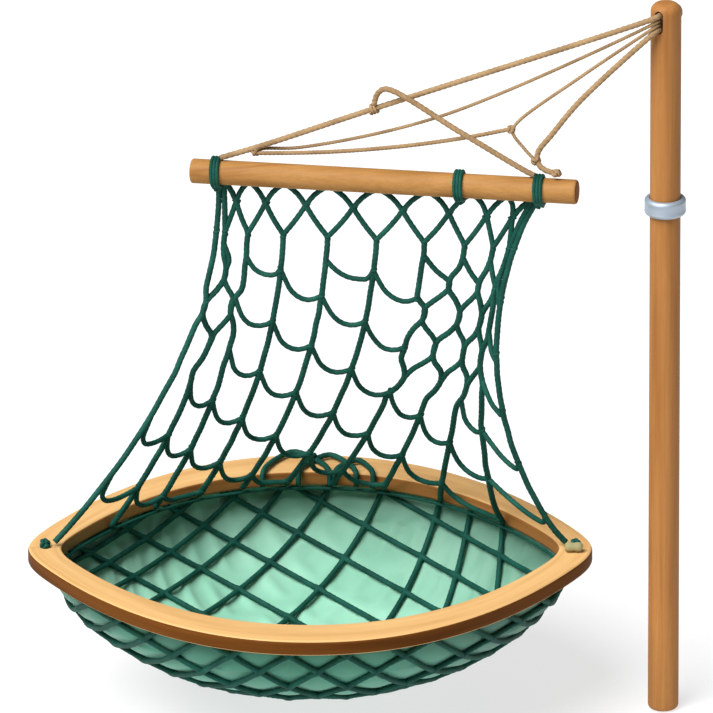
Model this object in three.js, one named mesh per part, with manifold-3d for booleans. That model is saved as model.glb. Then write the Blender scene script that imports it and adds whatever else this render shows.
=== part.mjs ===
// A hand-held lift net: a two-piece wooden pole, a cord sling, a spreader bar, a knotted
// netting curtain, a lens-shaped wooden hoop and a netted, lined bag below it.
// Units are millimetres, +Z is up. The origin is the centre of the pole's foot.
import * as THREE from 'three';
import { mergeVertices } from 'three/addons/utils/BufferGeometryUtils.js';
import Module from 'manifold-3d';

const wasm = await Module();
wasm.setup();

// ---- driving dimensions -------------------------------------------------------------
const GAP = 0.35; // clearance that touching pieces keep

const POLE_R = 15.5;
const POLE_TOP = 764;
const POLE_FOOT_ROUND = 5;
const POLE_TOP_ROUND = 9;
const POLE_SPLIT = 546; // where the two pole sections meet, inside the ferrule
const FERRULE_HEIGHT = 18;
const FERRULE_R = 21;
const SPIGOT_R = 7;
const SPIGOT_HALF = 60;

const SLOT_AZIMUTH = THREE.MathUtils.degToRad(240); // the cord slot faces front and left
const SLOT_LOW = 740; // centres of the slot's round ends
const SLOT_HIGH = 754.4;
const SLOT_R = 4.8;

const BAR_MID = new THREE.Vector3(-282, 0, 571.6);
const BAR_LENGTH = 396;
const BAR_R = 12.5;
const BAR_YAW = THREE.MathUtils.degToRad(-12); // its right end stands nearer the front
const BAR_RISE = 0.0247; // and very slightly higher

const TIE_X = [-450, -206, -126]; // where the three netting ties go round the bar
const TIE_WIDTH = 9;
const TIE_R = 16.6;

const HOOP_MID_X = -356.5;
const HOOP_A = 284.5; // half the hoop's width, to its outer edge
const HOOP_B = 248; // half its depth
const HOOP_TIP_WIDTH = 34;
const HOOP_SIDE_WIDTH = 46;
const HOOP_TOP = 174.7;
const HOOP_HEIGHT = 16;
const HOOP_BOTTOM = HOOP_TOP - HOOP_HEIGHT;
const TIP_HOLE_R = 4.5;
const TIP_HOLE_INSET = 17; // from the outer edge at each tip

const BAG_A = 260;
const BAG_B = 224;
const BAG_DEPTH = 113;
const LINER_WALL = 3;
const NET_SKIN = 1.6;

const NET_STRAND_R = 2.6;
const NET_COLUMNS = 10; // spaces between the eleven running strands
const NET_FORK_V = 0.133; // where each running strand forks, as a part of the curtain's height
const NET_ARCH_V = 0.045; // the lowest points of the arches along the head
const NET_ROW_V = 0.16; // from one cross strand to the next
const NET_ROW_FALL = 0.075; // how far a cross strand falls from one column to the next
const NET_FIRST_V = 0.01; // where the first cross strand starts, at the left edge

const tipX = [HOOP_MID_X - HOOP_A + TIP_HOLE_INSET, HOOP_MID_X + HOOP_A - TIP_HOLE_INSET];

// ---- colours ------------------------------------------------------------------------
const WOOD = { color: 0xc98a4b, roughness: 0.5, metalness: 0 };
const HOOP_WOOD = { color: 0xd9a05c, roughness: 0.5, metalness: 0 };
const STEEL = { color: 0xc9cbcd, roughness: 0.3, metalness: 0.9 };
const TAN_CORD = { color: 0xb58f63, roughness: 0.9, metalness: 0 };
const GREEN_CORD = { color: 0x1f5a4c, roughness: 0.85, metalness: 0 };
const LINER = { color: 0x8fd9b5, roughness: 0.75, metalness: 0 };

const group = new THREE.Group();

function add(name, geometry, finish, parent = group) {
  const mesh = new THREE.Mesh(geometry, new THREE.MeshStandardMaterial(finish));
  mesh.name = name;
  parent.add(mesh);
  return mesh;
}

// ---- solids -------------------------------------------------------------------------
function toManifold(geometry) {
  const bare = geometry.index ? geometry.toNonIndexed() : geometry.clone();
  bare.deleteAttribute('normal');
  bare.deleteAttribute('uv');
  const merged = mergeVertices(bare, 1e-4);
  return new wasm.Manifold(
    new wasm.Mesh({
      numProp: 3,
      vertProperties: new Float32Array(merged.attributes.position.array),
      triVerts: new Uint32Array(merged.index.array),
    }),
  );
}

function fromManifold(solid) {
  const mesh = solid.getMesh();
  const corners = new Float32Array(mesh.vertProperties);
  const geometry = new THREE.BufferGeometry();
  geometry.setAttribute('position', new THREE.BufferAttribute(corners, 3));
  geometry.setIndex(new THREE.BufferAttribute(new Uint32Array(mesh.triVerts), 1));
  return geometry;
}

function cut(geometry, ...tools) {
  let solid = toManifold(geometry);
  for (const tool of tools) solid = solid.subtract(toManifold(tool));
  return fromManifold(solid);
}

// A solid of revolution about Z from [radius, height] pairs that start and end on the axis.
function turned(profile, segments = 28) {
  const points = profile.map(([r, z]) => new THREE.Vector2(r, z));
  const geometry = new THREE.LatheGeometry(points, segments);
  geometry.rotateX(Math.PI / 2);
  return geometry;
}

// The same for a ring, whose profile closes on itself away from the axis.
function turnedRing(profile, segments = 24) {
  return turned([...profile, profile[0]], segments);
}

// A flat band round the Z axis with chamfered outer edges.
function band(inner, outer, half, chamfer, segments) {
  return turnedRing([
    [inner, -half],
    [outer - chamfer, -half],
    [outer, -half + chamfer],
    [outer, half - chamfer],
    [outer - chamfer, half],
    [inner, half],
  ], segments);
}

function roundedCorner(r, z, radius, fromAngle, toAngle, steps = 3) {
  const points = [];
  for (let i = 0; i <= steps; i++) {
    const angle = fromAngle + ((toAngle - fromAngle) * i) / steps;
    points.push([r + radius * Math.cos(angle), z + radius * Math.sin(angle)]);
  }
  return points;
}

function sphere(radius, stretchZ = 1) {
  const geometry = new THREE.SphereGeometry(radius, 12, 8);
  geometry.rotateX(Math.PI / 2);
  geometry.scale(1, 1, stretchZ);
  return geometry;
}

// A round or square strand swept along points.
function strand(points, radius, steps, sides = 8) {
  const outline = new THREE.Shape();
  for (let i = 0; i < sides; i++) {
    const angle = (2 * Math.PI * (i + 0.5)) / sides;
    const x = radius * Math.cos(angle);
    const y = radius * Math.sin(angle);
    if (i === 0) outline.moveTo(x, y);
    else outline.lineTo(x, y);
  }
  outline.closePath();
  const path = new THREE.CatmullRomCurve3(points, false, 'centripetal');
  return new THREE.ExtrudeGeometry(outline, { steps, extrudePath: path, bevelEnabled: false });
}

const vec = (x, y, z) => new THREE.Vector3(x, y, z);

// ---- pole ---------------------------------------------------------------------------
function poleLower() {
  const body = turned([
    [0, 0],
    ...roundedCorner(POLE_R - POLE_FOOT_ROUND, POLE_FOOT_ROUND, POLE_FOOT_ROUND, -Math.PI / 2, 0),
    [POLE_R, POLE_SPLIT - GAP / 2],
    [SPIGOT_R + GAP, POLE_SPLIT - GAP / 2],
    [SPIGOT_R + GAP, POLE_SPLIT - SPIGOT_HALF - GAP],
    [0, POLE_SPLIT - SPIGOT_HALF - GAP],
  ]);
  add('pole_lower', body, WOOD);
}

function poleUpper() {
  const round = POLE_TOP_ROUND;
  const body = turned([
    [0, POLE_SPLIT + SPIGOT_HALF + GAP],
    [SPIGOT_R + GAP, POLE_SPLIT + SPIGOT_HALF + GAP],
    [SPIGOT_R + GAP, POLE_SPLIT + GAP / 2],
    [POLE_R, POLE_SPLIT + GAP / 2],
    ...roundedCorner(POLE_R - round, POLE_TOP - round, round, 0, Math.PI / 2, 4),
    [0, POLE_TOP],
  ]);
  const slotOutline = new THREE.Shape();
  slotOutline.absarc(0, SLOT_HIGH, SLOT_R, 0, Math.PI, false);
  slotOutline.absarc(0, SLOT_LOW, SLOT_R, Math.PI, 2 * Math.PI, false);
  const depth = 4 * POLE_R; // well past both faces of the pole
  const slot = new THREE.ExtrudeGeometry(slotOutline, { depth, bevelEnabled: false, curveSegments: 6 });
  slot.translate(0, 0, -depth / 2);
  slot.rotateX(Math.PI / 2);
  slot.rotateZ(SLOT_AZIMUTH + Math.PI / 2);
  add('pole_upper', cut(body, slot), WOOD);
}

function ferrule() {
  const half = FERRULE_HEIGHT / 2;
  const inner = POLE_R + GAP;
  const round = 4;
  const ring = turnedRing([
    [inner, -half],
    ...roundedCorner(FERRULE_R - round, -half + round, round, -Math.PI / 2, 0),
    ...roundedCorner(FERRULE_R - round, half - round, round, 0, Math.PI / 2),
    [inner, half],
  ], 28);
  add('ferrule', ring, STEEL).position.z = POLE_SPLIT;
}

function spigot() {
  const half = SPIGOT_HALF;
  const pin = turned([
    [0, -half],
    [SPIGOT_R - 2, -half],
    [SPIGOT_R, -half + 2],
    [SPIGOT_R, half - 2],
    [SPIGOT_R - 2, half],
    [0, half],
  ], 20);
  add('pole_spigot', pin, STEEL).position.z = POLE_SPLIT;
}

// ---- spreader bar -------------------------------------------------------------------
const barDirection = vec(1, Math.tan(BAR_YAW), BAR_RISE).normalize();

function barPoint(x) {
  return BAR_MID.clone().addScaledVector(barDirection, (x - BAR_MID.x) / barDirection.x);
}

// Turns a mesh made along Z to lie along the bar, centred at x.
function alongBar(mesh, x) {
  mesh.quaternion.setFromUnitVectors(vec(0, 0, 1), barDirection);
  mesh.position.copy(barPoint(x));
}

function spreader() {
  const half = BAR_LENGTH / 2;
  const round = 4;
  const bar = turned([
    [0, -half],
    ...roundedCorner(BAR_R - round, -half + round, round, -Math.PI / 2, 0),
    ...roundedCorner(BAR_R - round, half - round, round, 0, Math.PI / 2),
    [0, half],
  ], 24);
  alongBar(add('spreader_bar', bar, WOOD), BAR_MID.x);
  const names = ['left', 'middle', 'right'];
  TIE_X.forEach((x, i) => {
    const tie = band(BAR_R + GAP, TIE_R, TIE_WIDTH / 2, 1.5, 24);
    alongBar(add(`bar_tie_${names[i]}`, tie, GREEN_CORD), x);
  });
}

// ---- netting curtain ----------------------------------------------------------------
const NET_TOP_DROP = 17; // below the bar's axis, where the netting hangs
const NET_TOP_BACK = 10.5; // and behind it
const NET_RIM_INSET = 6; // inside the hoop's inner wall
const NET_FOOT_Z = HOOP_BOTTOM + 6;
const NET_TIP_CLEAR = 10; // the edge strands stop this far short of the tip holes' centres
const NET_PINCH = 47; // how far the right edge is drawn in at half height
const NET_FOOT_STEP = 0.09; // between the strands' feet, as a part of the hoop's width
const NET_FOOT_SPREAD = 0.0055;

// Half the hoop's depth at an angle, from 0 at the tips, which are blunt, to 1 at the middle.
function lens(t) {
  const along = Math.abs(Math.cos(t));
  const power = 0.8 - 0.14 * Math.pow(along, 20);
  return Math.pow(Math.max(0, 1 - Math.pow(along, 2.1)), power);
}

function hoopPoint(t, a, b) {
  return new THREE.Vector2(HOOP_MID_X + a * Math.cos(t), (Math.sin(t) < 0 ? -1 : 1) * b * lens(t));
}

const innerA = HOOP_A - HOOP_TIP_WIDTH;
const innerB = HOOP_B - HOOP_SIDE_WIDTH;

// Where along the hoop's width a strand's foot is: even, then wider apart towards the right.
function footShare(column) {
  return NET_FOOT_STEP * column + NET_FOOT_SPREAD * Math.pow(Math.max(0, column - 5), 2);
}

// A point of the curtain: column runs from 0 to NET_COLUMNS, and v from 0 at the head to 1 at
// the foot. The columns are crowded at both ends of the bar and even along the hoop.
function curtainPoint(column, v) {
  const u = (1 - Math.cos((Math.PI * column) / NET_COLUMNS)) / 2;
  const top = barPoint(TIE_X[0] + 2 + u * (TIE_X[2] - TIE_X[0] - 4));
  top.z -= NET_TOP_DROP;
  top.y += NET_TOP_BACK;
  const cosine = THREE.MathUtils.clamp(2 * footShare(column) - 1, -0.985, 0.985);
  const foot = hoopPoint(Math.acos(cosine), innerA - NET_RIM_INSET, innerB - NET_RIM_INSET);
  const edge = Math.max(0, 1 - Math.min(column, NET_COLUMNS - column)); // 1 on the edge strands
  const tip = u < 0.5 ? tipX[0] + NET_TIP_CLEAR : tipX[1] - NET_TIP_CLEAR;
  const footX = THREE.MathUtils.lerp(foot.x, tip, edge);
  const footY = THREE.MathUtils.lerp(foot.y, 2, edge);
  const footZ = THREE.MathUtils.lerp(NET_FOOT_Z, HOOP_TOP + 5, edge);
  const flare = Math.pow(v, 2.1);
  const pinch = NET_PINCH * Math.pow(Math.sin(Math.PI * v), 0.75) * Math.pow(u, 6);
  const x = THREE.MathUtils.lerp(top.x, footX, flare) - pinch;
  const y = THREE.MathUtils.lerp(top.y, footY, v * v);
  const z = THREE.MathUtils.lerp(top.z, footZ, v);
  return vec(x, y, z);
}

// How far down each cross strand meets a running strand.
function crossings(column) {
  const found = [];
  const fall = NET_FIRST_V + NET_ROW_FALL * column;
  for (let row = -Math.floor(fall / NET_ROW_V); row < 1 / NET_ROW_V; row++) {
    const v = fall + NET_ROW_V * row;
    if (v > NET_FORK_V && v < 0.97) found.push(v);
  }
  return found;
}

function netStrand(steps, ...places) {
  return strand(places.map(([column, v]) => curtainPoint(column, v)), NET_STRAND_R, steps, 4);
}

function curtain() {
  const last = NET_COLUMNS;
  const strands = [];
  for (let i = 0; i <= last; i++) {
    const run = [NET_FORK_V, 0.25, 0.4, 0.55, 0.7, 0.85, 1].map((v) => [i, v]);
    strands.push(netStrand(9, ...run));
    // the fork's two legs, which the edge strands have no room for
    for (const side of [-0.5, 0.5]) {
      const arch = i + side > 1 && i + side < last - 1;
      if (arch) strands.push(netStrand(2, [i, NET_FORK_V], [i + side * 0.7, 0.08], [i + side, NET_ARCH_V]));
    }
    if (i < 2 || i > last - 2) {
      const head = i < 2 ? i * 0.8 : last - (last - i) * 0.8;
      strands.push(netStrand(2, [i, NET_FORK_V], [head, 0]));
    }
  }
  // the arches along the head, from one fork's leg to the next
  for (let j = 1.5; j < last - 2; j++) {
    strands.push(netStrand(4, [j, NET_ARCH_V], [j + 0.5, 0], [j + 1, NET_ARCH_V]));
  }
  strands.push(netStrand(3, [0, 0], [0.8, 0], [1.5, NET_ARCH_V]));
  strands.push(netStrand(3, [last, 0], [last - 0.8, 0], [last - 1.5, NET_ARCH_V]));
  // the cross strands droop from each running strand to the next
  for (let i = 0; i < last; i++) {
    for (const v of crossings(i)) {
      const end = Math.min(v + NET_ROW_FALL, 0.985);
      strands.push(netStrand(3, [i, v], [i + 0.5, Math.min(v + 0.075, 0.985)], [i + 1, end]));
    }
  }
  let net = toManifold(strands[0]);
  for (const piece of strands.slice(1)) net = net.add(toManifold(piece));
  add('curtain_net', fromManifold(net), GREEN_CORD);
}

// ---- hoop ---------------------------------------------------------------------------
function hoopHalf(name, from, to) {
  const steps = 30;
  const angle = (i) => from + ((to - from) * (1 - Math.cos((Math.PI * i) / steps))) / 2;
  const outline = new THREE.Shape();
  const shift = Math.sin((from + to) / 2) > 0 ? GAP / 2 : -GAP / 2;
  for (let i = 0; i <= steps; i++) {
    const p = hoopPoint(angle(i), HOOP_A, HOOP_B);
    if (i === 0) outline.moveTo(p.x, p.y + shift);
    else outline.lineTo(p.x, p.y + shift);
  }
  for (let i = steps; i >= 0; i--) {
    const p = hoopPoint(angle(i), innerA, innerB);
    outline.lineTo(p.x, p.y + shift);
  }
  outline.closePath();
  const lath = new THREE.ExtrudeGeometry(outline, { depth: HOOP_HEIGHT, bevelEnabled: false });
  lath.translate(0, 0, HOOP_BOTTOM);
  add(name, cut(lath, ...tipHoles()), HOOP_WOOD);
}

function tipHoles() {
  return tipX.map((x) => {
    const drill = new THREE.CylinderGeometry(TIP_HOLE_R, TIP_HOLE_R, HOOP_HEIGHT * 2, 16);
    drill.rotateX(Math.PI / 2);
    drill.translate(x, 0, (HOOP_TOP + HOOP_BOTTOM) / 2);
    return drill;
  });
}

// A cord end that passes down through a tip hole, with a knot above and a knot below.
function tipTie(name, x) {
  const neck = TIP_HOLE_R - GAP;
  const plug = turned([
    [0, HOOP_BOTTOM - 9],
    [4.5, HOOP_BOTTOM - 7.5],
    [6.5, HOOP_BOTTOM - 4],
    [5.5, HOOP_BOTTOM - GAP],
    [neck, HOOP_BOTTOM - GAP],
    [neck, HOOP_TOP + GAP],
    [6.5, HOOP_TOP + GAP],
    [6.8, HOOP_TOP + 4],
    [4.5, HOOP_TOP + 7.5],
    [0, HOOP_TOP + 8.5],
  ], 14);
  add(name, plug, GREEN_CORD).position.x = x;
}

function hoop() {
  hoopHalf('hoop_back', 0, Math.PI);
  hoopHalf('hoop_front', -Math.PI, 0);
  tipTie('tip_tie_left', tipX[0]);
  tipTie('tip_tie_right', tipX[1]);
  const toggle = turned([[0, -9], [4, -9], [5, -7.5], [5, 7.5], [4, 9], [0, 9]], 14);
  toggle.rotateY(Math.PI / 2);
  const peg = add('tip_toggle', toggle, TAN_CORD);
  peg.position.set(tipX[1] - 2, -12.5, HOOP_TOP + 5 + GAP);
  const knot = sphere(6.5, 0.8);
  const back = add('back_tie', knot, GREEN_CORD);
  back.position.set(HOOP_MID_X, HOOP_B - HOOP_SIDE_WIDTH / 2, HOOP_TOP + 5.2 + GAP);
}

// ---- bag ----------------------------------------------------------------------------
const AROUND = 32;
const RINGS = 5;

// A bowl of lens plan: its wall lies between two surfaces, the second one inset.
function bowl(inset, wall, zTop) {
  const positions = [];
  const index = [];
  const surface = (extra) => {
    const start = positions.length / 3;
    for (let k = 0; k < RINGS; k++) {
      const phi = (k / RINGS) * (Math.PI / 2);
      for (let i = 0; i < AROUND; i++) {
        const t = (2 * Math.PI * i) / AROUND;
        const a = (BAG_A - extra) * Math.cos(phi);
        const b = (BAG_B - extra) * Math.cos(phi);
        const p = hoopPoint(t, a, b);
        positions.push(p.x, p.y, zTop - (BAG_DEPTH - extra) * Math.sin(phi));
      }
    }
    positions.push(HOOP_MID_X, 0, zTop - (BAG_DEPTH - extra));
    return start;
  };
  const outer = surface(inset);
  const inner = surface(inset + wall);
  const quad = (a, b, c, d) => index.push(a, b, c, a, c, d);
  const bottom = RINGS * AROUND;
  for (let i = 0; i < AROUND; i++) {
    const j = (i + 1) % AROUND;
    for (let k = 0; k < RINGS - 1; k++) {
      const row = k * AROUND;
      quad(outer + row + i, outer + row + AROUND + i, outer + row + AROUND + j, outer + row + j);
      quad(inner + row + j, inner + row + AROUND + j, inner + row + AROUND + i, inner + row + i);
    }
    const last = (RINGS - 1) * AROUND;
    index.push(outer + last + j, outer + last + i, outer + bottom);
    index.push(inner + last + i, inner + last + j, inner + bottom);
    quad(outer + j, inner + j, inner + i, outer + i);
  }
  const geometry = new THREE.BufferGeometry();
  geometry.setAttribute('position', new THREE.Float32BufferAttribute(positions, 3));
  geometry.setIndex(index);
  return geometry;
}

function bag() {
  const zTop = HOOP_BOTTOM - GAP;
  const skinGap = 0.8;
  add('bag_net_outer', bowl(0, NET_SKIN, zTop), GREEN_CORD);
  add('bag_liner', bowl(NET_SKIN + skinGap, LINER_WALL, zTop), LINER);
  add('bag_net_inner', bowl(NET_SKIN + LINER_WALL + 2 * skinGap, NET_SKIN, zTop), GREEN_CORD);
}

// ---- sling --------------------------------------------------------------------------
const slotOut = vec(Math.cos(SLOT_AZIMUTH), Math.sin(SLOT_AZIMUTH), 0);

// Every sling cord starts in the slot and bends to the left as it comes out of it.
function fromSlot(z) {
  const inside = slotOut.clone().multiplyScalar(POLE_R - 3).setZ(z);
  const outside = slotOut.clone().multiplyScalar(POLE_R + 4.5).setZ(z);
  return [inside, outside];
}

const CORD_R = 3; // the bridle and the two outer sling cords
const LINE_R = 2.2; // the lines between the knots
const THIN_R = 1.8; // the two thin sling cords
const HITCH_HALF = 5;

// Where the bridle is hitched to the left sling cord.
const bridleAt = vec(-293, 16, 643.4);

function sling() {
  const leftRoute = [...fromSlot(754.5), bridleAt, vec(-444, 34.5, 583.9)];
  const cord = (name, points, radius, steps) => {
    add(`sling_cord_${name}`, strand(points, radius, steps), TAN_CORD);
  };
  cord('left', leftRoute, CORD_R, 26);
  cord('back', [
    ...fromSlot(749.1),
    vec(-226, 12, 636.9),
    vec(-366, 34, 594.9),
    vec(-404, 37.5, 593),
  ], THIN_R, 26);
  cord('centre', [
    ...fromSlot(745),
    vec(-86, -16, 690),
    vec(-150.5, -12.2, 637.5),
  ], THIN_R, 16);
  cord('right', [
    ...fromSlot(739.8),
    vec(-86, -20, 666),
    vec(-114, -20, 630),
    vec(-128, -20, 610.5),
  ], CORD_R, 14);
  cord('bridle', [
    vec(-292, 14.5, 651.5),
    vec(-287, 10, 664),
    vec(-279, 7, 668),
    vec(-206, -12, 629.5),
    vec(-136, -31, 591.6),
  ], CORD_R, 18);
  cord('long', [
    vec(-162.5, -10.5, 631.5),
    vec(-201, -2, 619.5),
    vec(-266, 12, 604.5),
    vec(-336, 24, 594),
    vec(-404, 31.5, 589.2),
  ], LINE_R, 20);
  cord('short', [vec(-152.5, -14.5, 627), vec(-142, -19.5, 615), vec(-134.5, -22, 607.2)], LINE_R, 4);
  cord('tail', [vec(-126, -26.5, 599), vec(-120.5, -31, 596), vec(-116.6, -34.4, 595.2)], 2.6, 4);
  slingKnots();
  hitch(leftRoute);
}

function slingKnots() {
  const knot = (name, at, radius, stretch = 1) => {
    add(`sling_${name}`, sphere(radius, stretch), TAN_CORD).position.copy(at);
  };
  knot('junction', vec(-156, -12, 632.5), 4.6);
  knot('knot_left', vec(-412.3, 35.5, 588.4), 5.4);
  knot('knot_right', vec(-130, -23.2, 602.6), 4.6);
  knot('knot_end', vec(-109.5, -36.7, 594.9), 5.6);
  const behindPole = slotOut.clone().multiplyScalar(-(POLE_R + 6));
  knot('stopper', behindPole.setZ((SLOT_LOW + SLOT_HIGH) / 2), 5, 2.1);
}

// The bridle's turns round the left sling cord.
function hitch(leftRoute) {
  const path = new THREE.CatmullRomCurve3(leftRoute, false, 'centripetal');
  const bridleOnPath = 2 / (leftRoute.length - 1); // the third of the route's points
  const inner = CORD_R + 0.6;
  const turns = add('sling_hitch', band(inner, inner + 3, HITCH_HALF, 0.8, 16), TAN_CORD);
  turns.position.copy(bridleAt);
  turns.quaternion.setFromUnitVectors(vec(0, 0, 1), path.getTangent(bridleOnPath));
}

poleLower();
poleUpper();
ferrule();
spigot();
spreader();
curtain();
hoop();
bag();
sling();

export default group;
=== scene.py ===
import math
import random

import bmesh
import bpy
import numpy as np
from mathutils import Matrix, Quaternion, Vector


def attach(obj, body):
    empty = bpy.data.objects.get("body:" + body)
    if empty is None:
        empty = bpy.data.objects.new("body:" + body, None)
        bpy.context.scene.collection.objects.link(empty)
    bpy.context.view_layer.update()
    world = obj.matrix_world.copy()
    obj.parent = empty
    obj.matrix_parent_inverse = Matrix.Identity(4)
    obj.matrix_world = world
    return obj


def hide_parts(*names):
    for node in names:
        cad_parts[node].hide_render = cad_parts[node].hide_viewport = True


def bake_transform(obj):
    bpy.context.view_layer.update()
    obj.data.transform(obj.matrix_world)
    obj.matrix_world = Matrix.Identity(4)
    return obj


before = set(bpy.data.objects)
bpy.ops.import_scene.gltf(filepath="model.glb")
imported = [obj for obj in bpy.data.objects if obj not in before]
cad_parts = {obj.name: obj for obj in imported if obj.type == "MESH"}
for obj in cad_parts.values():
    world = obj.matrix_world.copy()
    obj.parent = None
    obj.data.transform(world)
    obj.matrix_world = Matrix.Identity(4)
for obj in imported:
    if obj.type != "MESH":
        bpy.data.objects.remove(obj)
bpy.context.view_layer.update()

MM = 0.001
TAU = 2 * math.pi
QUARTER = math.pi / 2


# ---- sizes, which repeat the CAD model's driving dimensions ---------------------------
POLE_R = 15.5 * MM
POLE_TOP = 764 * MM
POLE_SPLIT = 546 * MM
POLE_FOOT_ROUND = 5 * MM
POLE_TOP_ROUND = 9 * MM
SPIGOT_R = 7 * MM
SPIGOT_HALF = 60 * MM
FERRULE_R = 21 * MM
FERRULE_HALF = 9 * MM
FERRULE_ROUND = 4 * MM
SLOT_AZIMUTH = math.radians(240)
SLOT_LOW = 740 * MM
SLOT_HIGH = 754.4 * MM
SLOT_R = 4.8 * MM
GAP = 0.35 * MM

BAR_MID = Vector((-282, 0, 571.6)) * MM
BAR_DIR = Vector((1, math.tan(math.radians(-12)), 0.0247)).normalized()
BAR_HALF = 198 * MM
BAR_R = 12.5 * MM
BAR_ROUND = 2.5 * MM
TIE_X = [-450 * MM, -206 * MM, -126 * MM]
TIE_CORD_R = 1.9 * MM

HOOP_X = -356.5 * MM
HOOP_A = 284.5 * MM
HOOP_B = 248 * MM
HOOP_TIP_WIDTH = 34 * MM
HOOP_SIDE_WIDTH = 46 * MM
HOOP_TOP = 174.7 * MM
HOOP_HEIGHT = 16 * MM
HOOP_BOTTOM = HOOP_TOP - HOOP_HEIGHT
HOOP_ROUND = 3 * MM
INNER_A = HOOP_A - HOOP_TIP_WIDTH
INNER_B = HOOP_B - HOOP_SIDE_WIDTH
TIP_X = [HOOP_X - HOOP_A + 17 * MM, HOOP_X + HOOP_A - 17 * MM]
TIP_HOLE_R = 4.5 * MM

BAG_A = 257.6 * MM
BAG_B = 221.6 * MM
BAG_DEPTH = 110.6 * MM
BAG_TOP = HOOP_BOTTOM - GAP
LINER_WALL = 3 * MM

CAMERA_ELEVATION = math.radians(22)
CAMERA_TARGET = Vector((-0.3098, 0, 0.3821))
CAMERA_LENS = 1500
CAMERA_SENSOR = 36
CAMERA_REACH = 400
FRAME_WIDTH = 0.717  # what the camera's frame spans at the target


def make_camera():
    data = bpy.data.cameras.new("camera")
    data.lens = CAMERA_LENS
    data.sensor_width = CAMERA_SENSOR
    data.clip_end = CAMERA_REACH
    camera = bpy.data.objects.new("camera", data)
    distance = FRAME_WIDTH * CAMERA_LENS / CAMERA_SENSOR
    back = Vector((0, -math.cos(CAMERA_ELEVATION), math.sin(CAMERA_ELEVATION)))
    camera.location = CAMERA_TARGET + back * distance
    camera.rotation_euler = (QUARTER - CAMERA_ELEVATION, 0, 0)
    bpy.context.scene.collection.objects.link(camera)
    bpy.context.scene.camera = camera


make_camera()


# ---- meshes ---------------------------------------------------------------------------
class Soup:
    """Vertices, faces and UVs of one piece, gathered from several tubes and patches."""

    def __init__(self):
        self.verts = []
        self.faces = []
        self.uvs = []
        self.count = 0

    def sleeve(self, points, uv):
        """points is (rows, columns, 3), and its last column joins its first.

        uv gives the two texture lengths, stacked, of row and column numbers."""
        rows, cols = points.shape[:2]
        r, c = np.meshgrid(np.arange(rows - 1), np.arange(cols), indexing="ij")
        c1 = (c + 1) % cols
        quads = np.stack([r * cols + c, r * cols + c1, (r + 1) * cols + c1, (r + 1) * cols + c], -1)
        self.faces.extend((quads.reshape(-1, 4) + self.count).tolist())
        corners = [(r, c), (r, c + 1), (r + 1, c + 1), (r + 1, c)]
        self.uvs.append(np.stack([uv(i, j) for i, j in corners], 2).reshape(-1, 2))
        self.verts.append(points.reshape(-1, 3))
        self.count += rows * cols

    def rod(self, points, uv):
        """A sleeve with one face over each of its ends."""
        first = self.count
        self.sleeve(points, uv)
        cols = points.shape[1]
        self.faces.append(list(range(first + cols - 1, first - 1, -1)))
        self.faces.append(list(range(self.count - cols, self.count)))
        self.uvs.append(np.zeros((2 * cols, 2)))

    def join(self, other):
        self.faces += [[i + self.count for i in face] for face in other.faces]
        self.verts += other.verts
        self.uvs += other.uvs
        self.count += other.count

    def build(self, name):
        mesh = bpy.data.meshes.new(name)
        mesh.from_pydata(np.concatenate(self.verts).tolist(), [], self.faces)
        layer = mesh.uv_layers.new(name="length")
        layer.data.foreach_set("uv", np.concatenate(self.uvs).astype(np.float32).ravel())
        mesh.polygons.foreach_set("use_smooth", [True] * len(mesh.polygons))
        mesh.validate()
        obj = bpy.data.objects.new(name, mesh)
        bpy.context.scene.collection.objects.link(obj)
        return obj


def run_lengths(path):
    """How far along a path each of its points is."""
    return np.concatenate([[0], np.cumsum(np.linalg.norm(np.diff(path, axis=0), axis=1))])


def spline(points, step):
    """Points every `step` along a centripetal Catmull-Rom curve through the given ones."""
    def between(p0, p1, t0, t1, x):
        return (t1 - x) / (t1 - t0) * p0 + (x - t0) / (t1 - t0) * p1

    p = np.array([list(q) for q in points], float)
    first, last = 2 * p[0] - p[1], 2 * p[-1] - p[-2]
    p = np.vstack([first, p, last])
    dense = []
    for i in range(1, len(p) - 2):
        quad = p[i - 1 : i + 3]
        gaps = np.sqrt(np.linalg.norm(np.diff(quad, axis=0), axis=1)) + 1e-9
        t = np.concatenate([[0], np.cumsum(gaps)])
        x = np.linspace(t[1], t[2], 25)[:, None]
        a = [between(quad[k], quad[k + 1], t[k], t[k + 1], x) for k in range(3)]
        b = [between(a[k], a[k + 1], t[k], t[k + 2], x) for k in range(2)]
        c = between(b[0], b[1], t[1], t[2], x)
        dense.append(c if i == len(p) - 3 else c[:-1])
    return even(np.vstack(dense), step)


def even(points, step):
    """The same line with its points evenly spaced."""
    points = np.asarray(points, float)
    run = run_lengths(points)
    n = max(2, int(round(run[-1] / step)) + 1)
    at = np.linspace(0, run[-1], n)
    return np.stack([np.interp(at, run, points[:, k]) for k in range(3)], -1)


def transported_frames(path):
    """Two normals at each point, without sudden twists."""
    tangents = np.gradient(path, axis=0)
    tangents /= np.linalg.norm(tangents, axis=1)[:, None] + 1e-12
    start = np.array((0.31, 0.17, 0.93))  # along none of the paths
    normal = start - tangents[0] * start.dot(tangents[0])
    normal /= np.linalg.norm(normal)
    normals = [normal]
    for t in tangents[1:]:
        normal = normal - t * normal.dot(t)
        normal = normal / (np.linalg.norm(normal) + 1e-12)
        normals.append(normal)
    normals = np.array(normals)
    return normals, np.cross(tangents, normals)


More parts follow.
